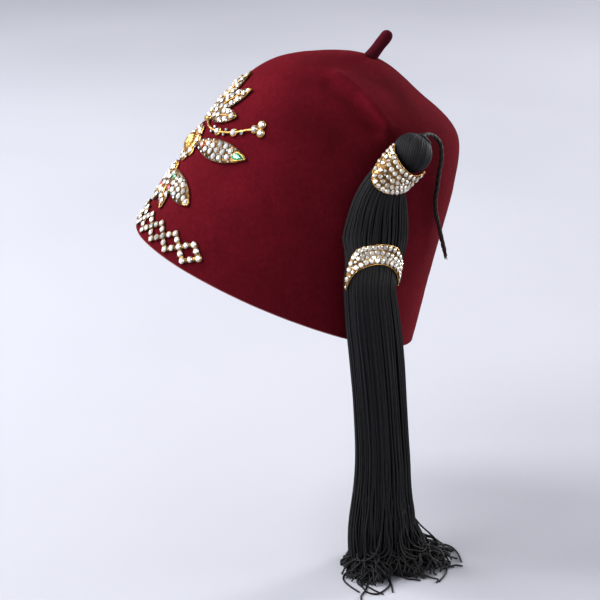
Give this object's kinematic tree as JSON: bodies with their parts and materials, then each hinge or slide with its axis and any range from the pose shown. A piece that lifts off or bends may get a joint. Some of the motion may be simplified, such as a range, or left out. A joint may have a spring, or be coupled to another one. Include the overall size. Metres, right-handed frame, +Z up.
{
  "type": "fez hat with a thread tassel",
  "caption": "Felt fez tipped back as worn, with a stalk on top, stone-set metal ornaments on its front and a long side tassel held by a stone-set collar and clasp.",
  "frame": {"origin": "middle of the head opening, in the plane of the rim, where the head sits", "axes": "+Z up, front towards -Y, the wearer's left and the tassel towards +X; the hat's own axis leans 23.5 degrees from +Z towards +Y"},
  "size_m": [0.209, 0.2179, 0.3429],
  "materials": {
    "felt": "dark red pressed wool felt with a soft nap",
    "stem_felt": "darker red felt",
    "thread": "black silky thread",
    "stone_set_metal": "polished gold tone, set with clear cut stones"
  },
  "bodies": {
    "root": {"crown": "felt", "stem": "stem_felt", "ornament_crest": "stone_set_metal", "ornament_rosette": "stone_set_metal", "ornament_drop": "stone_set_metal", "front_border": "stone_set_metal", "tassel_knob": "thread", "tassel": "thread", "tassel_collar": "stone_set_metal", "tassel_clasp": "stone_set_metal", "tassel_cord": "thread"}
  },
  "joints": []
}
